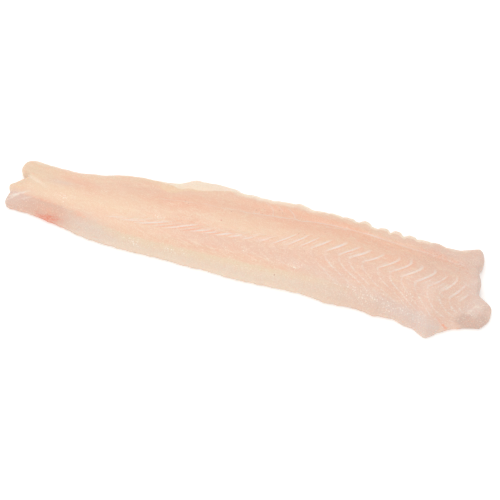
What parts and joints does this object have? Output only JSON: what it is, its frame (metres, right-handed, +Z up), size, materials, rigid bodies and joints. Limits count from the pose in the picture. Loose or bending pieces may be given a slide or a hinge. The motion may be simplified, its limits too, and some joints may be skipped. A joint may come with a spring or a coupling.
{
  "type": "shark fillet",
  "caption": "Long skinless side fillet of a small shark, raw, with chevron muscle grooves, a thin septum line, a scalloped back edge and cut ends.",
  "frame": {"origin": "on the surface it lies on, under the middle of the fillet's bounding box", "axes": "+X along the fillet towards the head end, +Y towards the back edge, +Z up out of the cut face"},
  "size_m": [0.43, 0.1048, 0.0229],
  "materials": {
    "flesh": "raw white fish flesh, cream to pale pink, moist, with small wet highlights"
  },
  "bodies": {
    "root": {"fillet": "flesh"}
  },
  "joints": []
}
